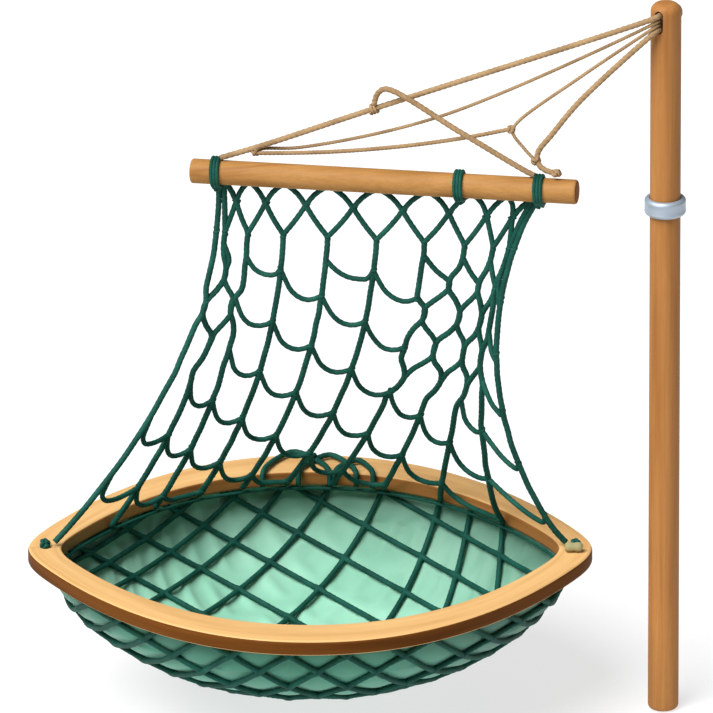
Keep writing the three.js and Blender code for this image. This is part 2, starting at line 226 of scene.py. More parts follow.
def lay_rope(soup, path, radius, pitch, depth=0.12, sides=12, swell=None, closed=False):
    """A rope of three twisted strands, laid at `pitch`. swell scales the radius by point."""
    run = run_lengths(path)
    n, b = transported_frames(path)
    if closed:
        # spread the leftover twist over the loop, so that its ends meet
        pitch = run[-1] / max(1, round(run[-1] / pitch))
    theta = np.arange(sides) * TAU / sides
    turn = run[:, None] * TAU / pitch
    shape = 1 - depth * (1 - np.abs(np.cos(3 * (theta[None, :] - turn) / 2)) ** 0.8)
    r = radius * shape
    if swell is not None:
        r = r * np.asarray(swell)[:, None]
    ring = path[:, None, :] + r[..., None] * (
        np.cos(theta)[None, :, None] * n[:, None, :] + np.sin(theta)[None, :, None] * b[:, None, :]
    )
    girth = TAU * radius
    soup.rod(ring, lambda i, j: np.stack([j / sides * girth - run[i] / pitch * girth, run[i]], -1))


def rope_piece(name, path, radius, pitch, kind, nodes=(), **lay):
    """A piece that is one rope. `kind` is its body, its slot and its material."""
    soup = Soup()
    lay_rope(soup, path, radius, pitch, **lay)
    return outfit(soup.build(name), *kind, nodes)


def revolve(profile, segments=72, matrix=None):
    """A turned solid about Z. The profile's [radius, height] pairs start and end on the axis."""
    soup = Soup()
    profile = np.array(profile, float)
    angles = np.arange(segments) * TAU / segments
    points = np.zeros((len(profile), segments, 3))
    points[..., 0] = profile[:, 0][:, None] * np.cos(angles)
    points[..., 1] = profile[:, 0][:, None] * np.sin(angles)
    points[..., 2] = profile[:, 1][:, None]
    run = run_lengths(profile)
    if matrix is not None:
        m = np.array(matrix)
        points = points @ m[:3, :3].T + m[:3, 3]
    girth = TAU * profile[:, 0].max()
    soup.sleeve(points, lambda i, j: np.stack([j / segments * girth, run[i]], -1))
    return soup


def weld(obj, distance=1e-6):
    bm = bmesh.new()
    bm.from_mesh(obj.data)
    bmesh.ops.remove_doubles(bm, verts=bm.verts, dist=distance)
    bmesh.ops.dissolve_degenerate(bm, edges=bm.edges, dist=distance)
    bmesh.ops.recalc_face_normals(bm, faces=bm.faces)
    bm.to_mesh(obj.data)
    bm.free()


def turned(name, profile, segments=72, matrix=None, sharp=None):
    """A turned piece, welded where it closes. Edges sharper than `sharp` degrees stay crisp."""
    obj = revolve(profile, segments, matrix).build(name)
    weld(obj)
    if sharp is not None:
        obj.data.set_sharp_from_angle(angle=math.radians(sharp))
    return obj


def arc(r, z, radius, start, end, steps=8):
    """Points of a rounded edge in a profile, about [r, z]."""
    angles = [start + (end - start) * i / steps for i in range(steps + 1)]
    return [(r + radius * math.cos(a), z + radius * math.sin(a)) for a in angles]


def mirror(end):
    """The profile of one end, turned into that of the other."""
    return [(r, -z) for r, z in reversed(end)]


def ladder(r, z0, z1, step):
    """Points up a straight side, close enough together to carry a small unevenness."""
    n = max(1, int(abs(z1 - z0) / step))
    return [(r, z0 + (z1 - z0) * i / n) for i in range(n + 1)]


def subtract(obj, cutter):
    mod = obj.modifiers.new("cut", "BOOLEAN")
    mod.operation = "DIFFERENCE"
    mod.solver = "EXACT"
    mod.object = cutter
    deps = bpy.context.evaluated_depsgraph_get()
    mesh = bpy.data.meshes.new_from_object(obj.evaluated_get(deps))
    obj.modifiers.clear()
    obj.data = mesh
    bpy.data.objects.remove(cutter)


def outfit(obj, body, slot, materials, nodes=()):
    """Gives a finished piece its material and its body, and hides the CAD nodes it stands for. Its slot
    is not used.
    """
    if not isinstance(materials, (list, tuple)):
        materials = [materials]
    indices = [face.material_index for face in obj.data.polygons]
    obj.data.materials.clear()
    for material in materials:
        obj.data.materials.append(material)
    obj.data.polygons.foreach_set("material_index", [min(i, len(materials) - 1) for i in indices])
    if body:
        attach(obj, body)
    if nodes:
        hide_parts(*nodes)
    return obj


# ---- materials ------------------------------------------------------------------------
class Shader:
    """A small helper that adds and links the nodes of one material."""

    def __init__(self, name):
        self.material = bpy.data.materials.new(name)
        self.material.use_nodes = True
        self.tree = self.material.node_tree
        self.bsdf = self.tree.nodes["Principled BSDF"]
        self.bump_in = None

    def node(self, kind, *inputs, **named):
        """A new node. Its inputs, by number and by name, are sockets, numbers or colours."""
        made = self.tree.nodes.new(kind)
        for key, value in [*enumerate(inputs), *named.items()]:
            self.put(made.inputs[key], value)
        return made

    def put(self, socket, value):
        if hasattr(value, "is_linked"):
            self.tree.links.new(value, socket)
        elif isinstance(value, (int, float)):
            socket.default_value = value
        else:
            socket.default_value = (*value, 1) if len(socket.default_value) == 4 else value

    def set(self, **named):
        """Inputs of the principled shader; an underscore stands for a space."""
        for key, value in named.items():
            self.put(self.bsdf.inputs[key.replace("_", " ")], value)

    def coords(self, which="Object", scale=(1, 1, 1), rotation=(0, 0, 0)):
        source = self.node("ShaderNodeTexCoord").outputs[which]
        return self.node("ShaderNodeMapping", source, Scale=scale, Rotation=rotation).outputs[0]

    def split(self, vector):
        return self.node("ShaderNodeSeparateXYZ", vector).outputs

    def noise(self, vector, scale, detail=3, rough=0.5, distortion=0.0):
        return self.node("ShaderNodeTexNoise", Vector=vector, Scale=scale, Detail=detail,
                         Roughness=rough, Distortion=distortion).outputs["Fac"]

    def wave(self, vector, scale, distortion, detail, direction):
        made = self.node("ShaderNodeTexWave", Vector=vector, Scale=scale, Detail=detail,
                         Distortion=distortion)
        made.bands_direction = direction
        return made.outputs["Fac"]

    def ramp(self, factor, stops):
        made = self.node("ShaderNodeValToRGB", factor)
        elements = made.color_ramp.elements
        while len(elements) < len(stops):
            elements.new(0.5)
        for element, (at, colour) in zip(elements, stops):
            element.position = at
            element.color = (*colour, 1)
        return made.outputs["Color"]

    def mix(self, factor, a, b, mode="MIX"):
        made = self.node("ShaderNodeMix")
        made.data_type = "RGBA"
        made.blend_type = mode
        for number, value in ((0, factor), (6, a), (7, b)):
            self.put(made.inputs[number], value)
        return made.outputs[2]

    def math(self, operation, a, b):
        made = self.node("ShaderNodeMath", a, b)
        made.operation = operation
        return made.outputs[0]

    def bump(self, height, distance, strength):
        made = self.node("ShaderNodeBump", Strength=strength, Distance=distance, Height=height)
        if self.bump_in is not None:
            self.put(made.inputs["Normal"], self.bump_in)
        self.bump_in = made.outputs["Normal"]
        self.set(Normal=self.bump_in)


def wood(name, pale, mid, dark, along, roughness=0.5, which="Object", rotation=(0, 0, 0), specular=0.12):
    """Straight-grained wood. `along` is the coordinate that the grain runs with: 0, 1 or 2."""
    s = Shader(name)

    def squeezed(across, lengthwise):
        scale = [across, across, across]
        scale[along] = lengthwise
        return s.coords(which, scale, rotation)

    figure = s.noise(squeezed(60, 3.2), 1.0, detail=4, rough=0.55, distortion=0.6)
    tone = s.ramp(figure, [(0.30, dark), (0.47, mid), (0.72, pale)])
    lines = s.noise(squeezed(420, 9), 1.0, detail=3, rough=0.6)
    between = s.ramp(lines, [(0.36, (1, 1, 1)), (0.62, (0, 0, 0))])
    lined = s.mix(between, tone, s.mix(0.35, tone, dark))
    pores = s.noise(squeezed(1500, 60), 1.0, detail=2, rough=0.5)
    pored = s.mix(s.ramp(pores, [(0.60, (0, 0, 0)), (0.74, (0.55, 0.55, 0.55))]), lined, dark)
    gloss = s.ramp(lines, [(0.3, (roughness - 0.06,) * 3), (0.7, (roughness + 0.10,) * 3)])
    s.set(Base_Color=pored, Roughness=gloss, Specular_IOR_Level=specular)
    s.bump(lines, 0.00012, 0.5)
    s.bump(pores, 0.00010, 0.4)
    return s.material


def end_grain(name, pale, dark):
    s = Shader(name)
    ring = s.wave(s.coords("UV"), 60, distortion=2, detail=2, direction="Y")
    s.set(Base_Color=s.ramp(ring, [(0.2, dark), (0.8, pale)]), Roughness=0.7, Specular_IOR_Level=0.05)
    s.bump(ring, 0.00015, 0.5)
    return s.material


def cord_fibre(name, pale, mid, dark, fibre=2600, roughness=0.85, specular=0.2):
    """Twisted fibres: the UVs are real lengths that follow the lay of the rope."""
    s = Shader(name)
    fibres = s.noise(s.coords("UV", (fibre, fibre * 0.09, 1)), 1.0, detail=3, rough=0.6)
    blotch = s.noise(s.coords("Object", (45, 45, 45)), 1.0, detail=3)
    tone = s.ramp(fibres, [(0.28, dark), (0.5, mid), (0.75, pale)])
    blotched = s.mix(0.45, tone, s.ramp(blotch, [(0.3, dark), (0.52, mid), (0.75, pale)]))
    s.set(Base_Color=blotched, Roughness=roughness, Specular_IOR_Level=specular)
    s.bump(fibres, 0.00022, 0.8)
    return s.material


def liner_cloth(name, tones):
    s = Shader(name)
    uv = s.coords("UV")
    warp = s.wave(uv, 260, distortion=0.3, detail=1, direction="X")
    weft = s.wave(uv, 260, distortion=0.3, detail=1, direction="Y")
    weave = s.math("MULTIPLY", warp, weft)
    slub = s.noise(s.coords("UV", (900, 60, 1)), 1.0, detail=2)
    cloud = s.noise(s.coords("Object", (7, 7, 9)), 1.0, detail=2, rough=0.45, distortion=0.4)
    tone = s.ramp(cloud, [(0.34, tones[0]), (0.50, tones[1]), (0.68, tones[2])])
    threads = s.mix(s.math("MULTIPLY", slub, 0.25), tone, tones[0])
    # painted shade: the cloth is darker near the rim, where the hoop shades it, and darker towards the
    # bag's right end
    down = s.math("MULTIPLY", s.split(uv)[1], 4)
    painted_rim_shade = s.ramp(down, [(0.0, (0.60,) * 3), (0.20, (0.86,) * 3), (0.45, (1, 1, 1))])
    # painted shade: darker towards the bag's right end (+x)
    across = s.math("ADD", s.split(s.coords("Object"))[0], 0.6)
    painted_right_end_shade = s.ramp(across, [(0.26, (1, 1, 1)), (0.50, (0.50,) * 3)])
    shaded = s.mix(1.0, s.mix(1.0, threads, painted_rim_shade, "MULTIPLY"), painted_right_end_shade, "MULTIPLY")
    s.set(Base_Color=shaded, Roughness=0.62, Sheen_Weight=0.25, Sheen_Roughness=0.4)
    s.bump(weave, 0.00018, 0.5)
    s.bump(cloud, 0.0015, 0.25)
    return s.material


def metal(name, colour, roughness, scale, metallic=1.0):
    s = Shader(name)
    streak = s.noise(s.coords("Object", scale), 1.0, detail=3, rough=0.6)
    tone = s.mix(streak, [c * 0.86 for c in colour], colour)
    gloss = s.ramp(streak, [(0.3, (roughness - 0.05,) * 3), (0.7, (roughness + 0.10,) * 3)])
    s.set(Base_Color=tone, Roughness=gloss, Metallic=metallic)
    dents = s.noise(s.coords("Object", (90, 90, 90)), 1.0, detail=1)
    s.bump(streak, 0.00004, 0.4)
    s.bump(dents, 0.0003, 0.25)
    return s.material


BAR_TURN = BAR_DIR.to_track_quat("Z", "Y")
POLE_WOOD = wood("pole_wood_look", (0.44, 0.202, 0.062), (0.38, 0.164, 0.046), (0.29, 0.112, 0.029), 2)
BAR_WOOD = wood(
    "bar_wood_look", (0.44, 0.225, 0.072), (0.375, 0.184, 0.054), (0.28, 0.123, 0.033), 0,
    rotation=(0, 0, math.radians(12)),
)
HOOP_WOOD = wood(
    "hoop_wood_look", (0.75, 0.470, 0.200), (0.69, 0.415, 0.168), (0.56, 0.310, 0.110), 1, which="UV",
)
# painted shade: darker copies of the hoop's wood for its outer and inner walls, which the light from
# above leaves in shade
HOOP_OUTER_WALL_SHADED = wood(
    "hoop_outer_wall_painted_shade_look", (0.165, 0.058, 0.010), (0.125, 0.041, 0.006), (0.080, 0.025, 0.003), 1,
    roughness=0.55, which="UV", specular=0.05,
)
HOOP_INNER_WALL_SHADED = wood(
    "hoop_inner_wall_painted_shade_look", (0.42, 0.175, 0.048), (0.35, 0.140, 0.036), (0.24, 0.088, 0.020), 1, which="UV",
)
END_GRAIN = end_grain("bar_end_look", (0.30, 0.110, 0.026), (0.19, 0.062, 0.013))
FERRULE_METAL = metal("ferrule_look", (0.42, 0.49, 0.57), 0.5, (25, 25, 1400), metallic=0.6)
SPIGOT_METAL = metal("spigot_look", (0.55, 0.56, 0.57), 0.28, (20, 20, 1600))
TAN_FIBRE = cord_fibre("tan_cord_look", (0.46, 0.315, 0.170), (0.33, 0.210, 0.105), (0.155, 0.092, 0.042))
GREEN_FIBRE = cord_fibre(
    "green_cord_look", (0.018, 0.135, 0.095), (0.007, 0.068, 0.049), (0.002, 0.029, 0.021),
    fibre=2200, roughness=0.6, specular=0.12,
)
TOGGLE_WOOD = wood(
    "toggle_look", (0.40, 0.37, 0.20), (0.31, 0.28, 0.14), (0.20, 0.17, 0.08), 0, roughness=0.45)
LINER_CLOTH = liner_cloth(
    "liner_look", [(0.215, 0.510, 0.355), (0.270, 0.590, 0.425), (0.325, 0.655, 0.485)])
# painted shade: a darker copy of the liner cloth for its outside face, which hangs in shade
LINER_OUTSIDE_SHADED = liner_cloth(
    "liner_outside_painted_shade_look", [(0.045, 0.260, 0.168), (0.075, 0.355, 0.238), (0.115, 0.440, 0.305)])

# the body, the slot and the material of each kind of rope
TAN = ("pole_top", "tan_cord", TAN_FIBRE)
GREEN_CURTAIN = ("curtain", "green_cord", GREEN_FIBRE)
GREEN_HOOP = ("hoop", "green_cord", GREEN_FIBRE)


# ---- sling ----------------------------------------------------------------------------
SLOT_OUT = Vector((math.cos(SLOT_AZIMUTH), math.sin(SLOT_AZIMUTH), 0))


def from_slot(z):
    """The first points of a sling cord: just inside the slot's mouth, and just outside it."""
    inside = SLOT_OUT * (POLE_R - 3 * MM)
    outside = SLOT_OUT * (POLE_R + 4.5 * MM)
    return [Vector((p.x, p.y, z * MM)) for p in (inside, outside)]


def route(*points):
    return [Vector(p) * MM for p in points]


def sling_cord(name, points, diameter, nodes):
    path = spline(points, diameter * 0.16)
    rope_piece(name, path, diameter / 2, diameter * 2.9, TAN, nodes, depth=0.20, sides=18)
    tuple(path[0])
    float(run_lengths(path)[-1])
    [tuple(p) for p in even(path, 4 * MM)]


def make_sling():
    hitch = (-293, 16, 643.4)
    left = from_slot(754.5) + route(hitch, (-405, 34.2, 596.6), (-446.6, 34.6, 583.3))
    back = from_slot(749.1) + route(
        (-226, 12, 636.9), (-366, 34, 594.9), (-404, 37.5, 592), (-409, 37, 590))
    centre = from_slot(745) + route(
        (-86, -16, 690), (-150.5, -12.2, 637.5), (-153.2, -13.8, 629.5), (-142, -19.5, 615),
        (-133, -22.4, 605.5))
    right = from_slot(739.8) + route(
        (-86, -20, 666), (-114, -20, 630), (-128, -20.5, 610.5), (-127.5, -25, 600.5),
        (-120.5, -31, 596), (-111, -36, 595))
    bridle = route(
        (-292.4, 14.6, 649), (-288.5, 11, 662), (-280, 7, 668.4), (-206, -12, 629.5),
        (-142, -29.5, 595.4), (-131.5, -32.6, 590.9))
    long = route(
        (-156.5, -11.4, 632.3), (-201, -2, 619.5), (-266, 12, 604.5), (-336, 24, 594),
        (-404, 32.5, 589.2), (-410, 34.5, 588.6))
    sling_cord("sling_rope_left", left, 6 * MM, ["sling_cord_left"])
    sling_cord("sling_rope_back", back, 3.6 * MM, ["sling_cord_back"])
    sling_cord("sling_rope_centre", centre, 3.6 * MM, ["sling_cord_centre", "sling_cord_short"])
    sling_cord("sling_rope_right", right, 6 * MM, ["sling_cord_right", "sling_cord_tail"])
    sling_cord("sling_rope_bridle", bridle, 6 * MM, ["sling_cord_bridle"])
    sling_cord("sling_rope_long", long, 4.4 * MM, ["sling_cord_long"])
    round_knot("junction_knot", (-155, -12.2, 632.5), 4.6, 1.5, TAN, ["sling_junction"])
    round_knot("left_knot", (-411, 35.5, 590.2), 5.4, 1.7, TAN, ["sling_knot_left"], spin=0.8)
    round_knot("right_knot", (-130, -23.2, 603), 5.2, 1.7, TAN, ["sling_knot_right"], spin=1.1)
    round_knot("end_knot", (-109.5, -36.7, 594.9), 5.4, 1.9, TAN, ["sling_knot_end"], spin=1.9)
    behind = -SLOT_OUT * (POLE_R / MM + 6)
    round_knot("stopper_knot", (behind.x, behind.y, 747.2), 8.5, 2.4, TAN, ["sling_stopper"],
               squash=(0.6, 0.6, 1.2))
    # the hitch: two and a half turns of the bridle's own cord round the left sling cord
    line = spline(left, 1 * MM)
    at = int(np.argmin(np.linalg.norm(line - np.array(hitch) * MM, axis=1)))
    tangent = Vector(line[at + 3] - line[at - 3]).normalized()
    wraps = even(coil_round(line[at], tangent, 4.3 * MM, 2.5, 3.1 * MM), 0.6 * MM)
    rope_piece("bridle_hitch", wraps, 1.6 * MM, 11 * MM, TAN, ["sling_hitch"], depth=0.2)


def round_knot(name, centre, radius, cord_r, kind, nodes=(), squash=(1, 1, 1), spin=0.0):
    """A knot drawn up tight: one strand, wound over a small ball so that it crosses itself.

    The sizes and the centre are in millimetres. `kind` is a body, a slot and a material."""
    core = radius - cord_r
    strand = []
    for k in np.linspace(0, TAU, 181):
        # twice round the ball, and three times up and down it
        lat = 0.855 * math.sin(3 * k)
        lon = 2 * k + 0.35 * math.cos(3 * k) + spin
        flat = math.cos(lat)
        swell = core * (1 + 0.10 * math.cos(6 * k))
        strand.append((swell * flat * math.cos(lon), swell * flat * math.sin(lon), swell * math.sin(lat)))
    strand = np.array(strand) * np.array(squash)
    if squash == (1, 1, 1):
        strand = strand @ np.array(Quaternion((1, 0.3, 0), 0.9 + spin).to_matrix()).T
    strand = (strand + np.array(centre, float)) * MM
    soup = Soup()
    lay_rope(soup, even(strand, cord_r * 0.35 * MM), cord_r * MM, cord_r * 6 * MM, depth=0.16)
    round_side = [(core * math.cos(a), core * math.sin(a)) for a in np.linspace(-1.4, 1.4, 9)]
    heart = [(r * 0.93 * MM * squash[0], z * 0.93 * MM * squash[2])
             for r, z in [(0, -core)] + round_side + [(0, core)]]
    soup.join(revolve(heart, 24, Matrix.Translation(Vector(centre) * MM)))
    return outfit(soup.build(name), *kind, nodes)


def coil_round(centre, axis, radius, turns, pitch, start=0.0):
    """Points of a short helix round an axis, centred on a point."""
    axis = Vector(axis).normalized()
    side = axis.cross(Vector((0, 1, 0.2))).normalized()
    other = axis.cross(side)
    t = np.linspace(-0.5, 0.5, int(turns * 40) + 1)
    out = []
    for k in t * turns:
        a = start + k * TAU
        round_axis = side * (radius * math.cos(a)) + other * (radius * math.sin(a))
        out.append(Vector(centre) + axis * (k * pitch) + round_axis)
    return np.array([list(p) for p in out])


make_sling()


# ---- pole and bar -----------------------------------------------------------------------
def slot_cutter():
    """A long bar with the slot's outline, which reaches right through the pole."""
    across = Vector((-SLOT_OUT.y, SLOT_OUT.x, 0))
    rise = (SLOT_HIGH - SLOT_LOW) / SLOT_R
    angles = np.linspace(0, TAU, 40, endpoint=False)
    outline = [(math.cos(a), math.sin(a) + (rise if a < math.pi else 0)) for a in angles]
    rows = [
        [list(SLOT_OUT * depth + across * (u * SLOT_R) + Vector((0, 0, SLOT_LOW + w * SLOT_R)))
         for u, w in outline]
        for depth in (-25 * MM, 25 * MM)
    ]
    soup = Soup()
    soup.rod(np.array(rows), lambda i, j: np.stack([i, j], -1))
    cutter = soup.build("slot_cutter")
    weld(cutter)
    return cutter


def make_pole():
    bore_r, bore_half = SPIGOT_R + GAP, SPIGOT_HALF + GAP
    eased = 0.6 * MM  # how far the edges at the joint are rounded off
    low_end, high_end = POLE_SPLIT - GAP / 2, POLE_SPLIT + GAP / 2
    lower = turned(
        "pole_lower_wood",
        [(0, 0)]
        + arc(POLE_R - POLE_FOOT_ROUND, POLE_FOOT_ROUND, POLE_FOOT_ROUND, -QUARTER, 0)
        + ladder(POLE_R, POLE_FOOT_ROUND + 1 * MM, low_end - eased, 20 * MM)
        + [(POLE_R - eased, low_end), (bore_r, low_end), (bore_r, POLE_SPLIT - bore_half),
           (0, POLE_SPLIT - bore_half)],
        sharp=40,
    )
    outfit(lower, "pole_base", "pole_wood", POLE_WOOD, ["pole_lower"])

    upper = turned(
        "pole_upper_wood",
        [(0, POLE_SPLIT + bore_half), (bore_r, POLE_SPLIT + bore_half), (bore_r, high_end),
         (POLE_R - eased, high_end)]
        + ladder(POLE_R, high_end + eased, POLE_TOP - POLE_TOP_ROUND - 1 * MM, 8 * MM)
        + arc(POLE_R - POLE_TOP_ROUND, POLE_TOP - POLE_TOP_ROUND, POLE_TOP_ROUND, 0, QUARTER, 10)
        + [(0, POLE_TOP)],
    )
    subtract(upper, slot_cutter())
    upper.data.set_sharp_from_angle(angle=math.radians(40))
    outfit(upper, "pole_top", "pole_wood", POLE_WOOD, ["pole_upper"])


def make_ferrule():
    half, inner, bevel = FERRULE_HALF, POLE_R + GAP, 0.5 * MM
    end = (
        [(FERRULE_R - 0.25 * MM, half - 4.6 * MM)]
        + arc(FERRULE_R - FERRULE_ROUND, half - FERRULE_ROUND, FERRULE_ROUND, 0, QUARTER)
        + [(inner + bevel, half), (inner, half - bevel)]
    )
    profile = mirror(end) + end
    profile.append(profile[0])
    band = turned("ferrule_band", profile, 96, Matrix.Translation((0, 0, POLE_SPLIT)), 50)
    outfit(band, "pole_base", "ferrule_metal", FERRULE_METAL, ["ferrule"])


def make_spigot():
    r, h = SPIGOT_R, SPIGOT_HALF
    taper, groove = 2 * MM, 0.5 * MM
    end = [(r - groove, 2.4 * MM), (r, 3 * MM), (r, h - taper), (r - taper, h), (0, h)]
    place = Matrix.Translation((0, 0, POLE_SPLIT))
    pin = turned("spigot_pin", mirror(end) + end, 48, place, 30)
    outfit(pin, "spigot", "spigot_steel", SPIGOT_METAL, ["pole_spigot"])


def bar_point(x):
    return BAR_MID + BAR_DIR * ((x - BAR_MID.x) / BAR_DIR.x)


def make_bar():
    turn = Matrix.Translation(BAR_MID) @ BAR_TURN.to_matrix().to_4x4()
    end = arc(BAR_R - BAR_ROUND, BAR_HALF - BAR_ROUND, BAR_ROUND, 0, QUARTER)
    end += [(4 * MM, BAR_HALF), (0, BAR_HALF)]
    straight = ladder(BAR_R, -BAR_HALF + 5 * MM, BAR_HALF - 5 * MM, 12 * MM)
    bar = turned("spreader_bar_wood", mirror(end) + straight + end, 64, turn)
    for face in bar.data.polygons:
        along = (face.center - BAR_MID).dot(BAR_DIR)
        if abs(along) > BAR_HALF - 0.5 * MM:
            face.material_index = 1
    outfit(bar, "bar", "bar_wood", [BAR_WOOD, END_GRAIN], ["spreader_bar"])


def make_bar_ties():
    """Each tie is three close turns of twine round the bar, with a knot under it."""
    for x, name in zip(TIE_X, ("left", "middle", "right")):
        wrap = coil_round(bar_point(x), BAR_DIR, BAR_R + GAP + TIE_CORD_R, 3.0, 3.1 * MM, start=QUARTER)
        rope_piece(f"twine_tie_{name}", even(wrap, 0.8 * MM), TIE_CORD_R, 15 * MM, GREEN_CURTAIN,
                   [f"bar_tie_{name}"], depth=0.10)
        under = bar_point(x) + Vector((0, 4 * MM, -BAR_R - 4.5 * MM))
        round_knot(f"twine_tie_{name}_knot", under / MM, 5.6, TIE_CORD_R / MM, GREEN_CURTAIN, spin=x * 40)


make_pole()
make_ferrule()
make_spigot()
make_bar()
make_bar_ties()


# ---- hoop -------------------------------------------------------------------------------
def lens(cosine, middle=0.8):
    """Half the hoop's depth, from 0 at its blunt tips to 1 at the middle."""
    along = np.abs(cosine)
    return np.maximum(0.0, 1 - along**2.1) ** (middle - 0.14 * along**20)


def hoop_outline(t, a, b):
    """Plan points of the hoop's outline at angle t, for half sizes a and b."""
    t = np.asarray(t, float)
    return HOOP_X + a * np.cos(t), np.sign(np.sin(t)) * b * lens(np.cos(t))


def hoop_section(steps=5):
    """The lath's section: for each point, which corner it belongs to and its place from there."""
    section = []
    for outer, upper, first in ((1, 1, 0), (0, 1, 90), (0, 0, 180), (1, 0, 270)):
        for k in range(steps + 1):
            a = math.radians(first + 90 * k / steps)
            across = HOOP_ROUND * (math.cos(a) - (1 if outer else -1))
            rise = HOOP_ROUND * (math.sin(a) - (1 if upper else -1))
            section.append((outer, upper, across, rise))
    return np.array(section)


def hoop_lath(name, start, end, node):
    """One bent lath: a rounded oblong section carried along half of the hoop."""
    rows = 161
    t = start + (end - start) * (0.5 - 0.5 * np.cos(np.linspace(0, math.pi, rows)))
    side = 1 if start + end > 0 else -1
    ox, oy = hoop_outline(t, HOOP_A, HOOP_B)
    ix, iy = hoop_outline(t, INNER_A, INNER_B)
    at_tip = np.abs(np.sin(t)) < 1e-9
    oy = np.where(at_tip, 0, oy) + side * GAP / 2
    iy = np.where(at_tip, 0, iy) + side * GAP / 2
    section = hoop_section()
    across = np.stack([ox - ix, oy - iy], -1)
    width = np.linalg.norm(across, axis=1)
    across = across / width[:, None]
    d = section[None, :, 0] * width[:, None] + section[None, :, 2]
    points = np.zeros((rows, len(section), 3))
    points[..., 0] = ix[:, None] + across[:, None, 0] * d
    points[..., 1] = iy[:, None] + across[:, None, 1] * d
    points[..., 2] = HOOP_BOTTOM + section[None, :, 1] * HOOP_HEIGHT + section[None, :, 3]
    run = run_lengths(points[:, 0, :])
    middle = points[rows // 2]
    around = run_lengths(np.vstack([middle, middle[:1]]))
    soup = Soup()
    soup.rod(points, lambda i, j: np.stack([around[j], run[i]], -1))
    lath = soup.build(name)
    weld(lath)
    low, high = HOOP_BOTTOM - 9 * MM, HOOP_TOP + 9 * MM
    for x in TIP_X:
        hole = [(0, low), (TIP_HOLE_R, low), (TIP_HOLE_R, high), (0, high)]
        subtract(lath, turned("drill", hole, 32, Matrix.Translation((x, 0, 0))))
    lath.data.set_sharp_from_angle(angle=math.radians(50))
    # painted shade: the top faces take the plain wood, the outer walls its darkest copy and the inner
    # walls a darker one
    for face in lath.data.polygons:
        outward = face.normal.x * (face.center.x - HOOP_X) + face.normal.y * face.center.y > 0
        face.material_index = 0 if abs(face.normal.z) > 0.5 else (1 if outward else 2)
    outfit(lath, "hoop", "hoop_wood", [HOOP_WOOD, HOOP_OUTER_WALL_SHADED, HOOP_INNER_WALL_SHADED], [node])


hoop_lath("hoop_lath_back", 0, math.pi, "hoop_back")
hoop_lath("hoop_lath_front", -math.pi, 0, "hoop_front")


# ---- netting curtain: where its points are ----------------------------------------------
# a name that ends in _V is a distance down the curtain, as a part of its height
NET_R = 3.05 * MM
TWINE_PITCH = 19 * MM
NET_COLUMNS = 10
FORK_V = 0.133
ARCH_V = 0.045
ROW_V = 0.16
ROW_FALL = 0.075
FIRST_V = 0.01
FOOT_STEP = 0.09
FOOT_SPREAD = 0.0055
NET_TOP_DROP = 17 * MM
NET_TOP_BACK = 10.5 * MM
NET_RIM_INSET = 6 * MM
NET_FOOT_Z = HOOP_BOTTOM + 6 * MM
NET_TIP_CLEAR = 10 * MM
NET_PINCH = 47 * MM
DIAMOND_ROW = 0.11  # how far down it is from a strand's one neighbour to its other
# the strands that make diamond meshes at each side, and how far down they do
DIAMONDS = [
    ([0, 1, 1.5, 2], FORK_V + 3 * DIAMOND_ROW),
    ([6, 6.5, 7, 7.5, 8, 8.5, 9], FORK_V + 4 * DIAMOND_ROW),
]


def curtain_point(column, v):
    """A point of the curtain; v runs from 0 at the head to 1 at the foot."""
    u = (1 - math.cos(math.pi * column / NET_COLUMNS)) / 2
    top = bar_point(TIE_X[0] + 2 * MM + u * (TIE_X[2] - TIE_X[0] - 4 * MM))
    top += Vector((0, NET_TOP_BACK, -NET_TOP_DROP))
    share = FOOT_STEP * column + FOOT_SPREAD * max(0, column - 5) ** 2
    cosine = min(0.985, max(-0.985, 2 * share - 1))
    fx, fy = hoop_outline(math.acos(cosine), INNER_A - NET_RIM_INSET, INNER_B - NET_RIM_INSET)
    edge = max(0.0, 1 - min(column, NET_COLUMNS - column))
    tip = TIP_X[0] + NET_TIP_CLEAR if u < 0.5 else TIP_X[1] - NET_TIP_CLEAR
    fx = float(fx) + (tip - float(fx)) * edge
    fy = float(fy) + (2 * MM - float(fy)) * edge
    fz = NET_FOOT_Z + (HOOP_TOP + 5 * MM - NET_FOOT_Z) * edge
    flare = max(v, 0) ** 2.1
    pinch = NET_PINCH * math.sin(math.pi * min(max(v, 0), 1)) ** 0.75 * u**6
    return Vector((
        top.x + (fx - top.x) * flare - pinch,
        top.y + (fy - top.y) * v * v,
        top.z + (fz - top.z) * v,
    ))


# ---- bag --------------------------------------------------------------------------------
# the rows of the netting keep level as seen from this far above the front
SLANT = math.radians(22)
NET_GRID = 2 * MM  # the lattices' fields are worked out on a grid this fine
BULGE = 3.1 * MM  # how far the liner stands out in the middle of a mesh
BULGE_EDGE = 7 * MM  # how near a strand it begins to be held back
FOLD = 0.4 * MM
# the two families of strands of each netting: how far apart, and how they slant
INNER_SPACING = 45 * MM
INNER_SLANT = 0.55
OUTER_SPACING = 33 * MM
OUTER_SLANT = 0.57
SIDE_SPACING = 48 * MM  # of the inner strands that hang from no foot of the curtain
SHORTEST_STRAND = 45 * MM
FOOT_REACH = 22 * MM  # how near to a foot of the curtain a strand joins it


def bag_power(s):
    """The plan is lens-shaped at the hoop and rounds out towards the bottom."""
    return 0.5 + 0.3 * s * s


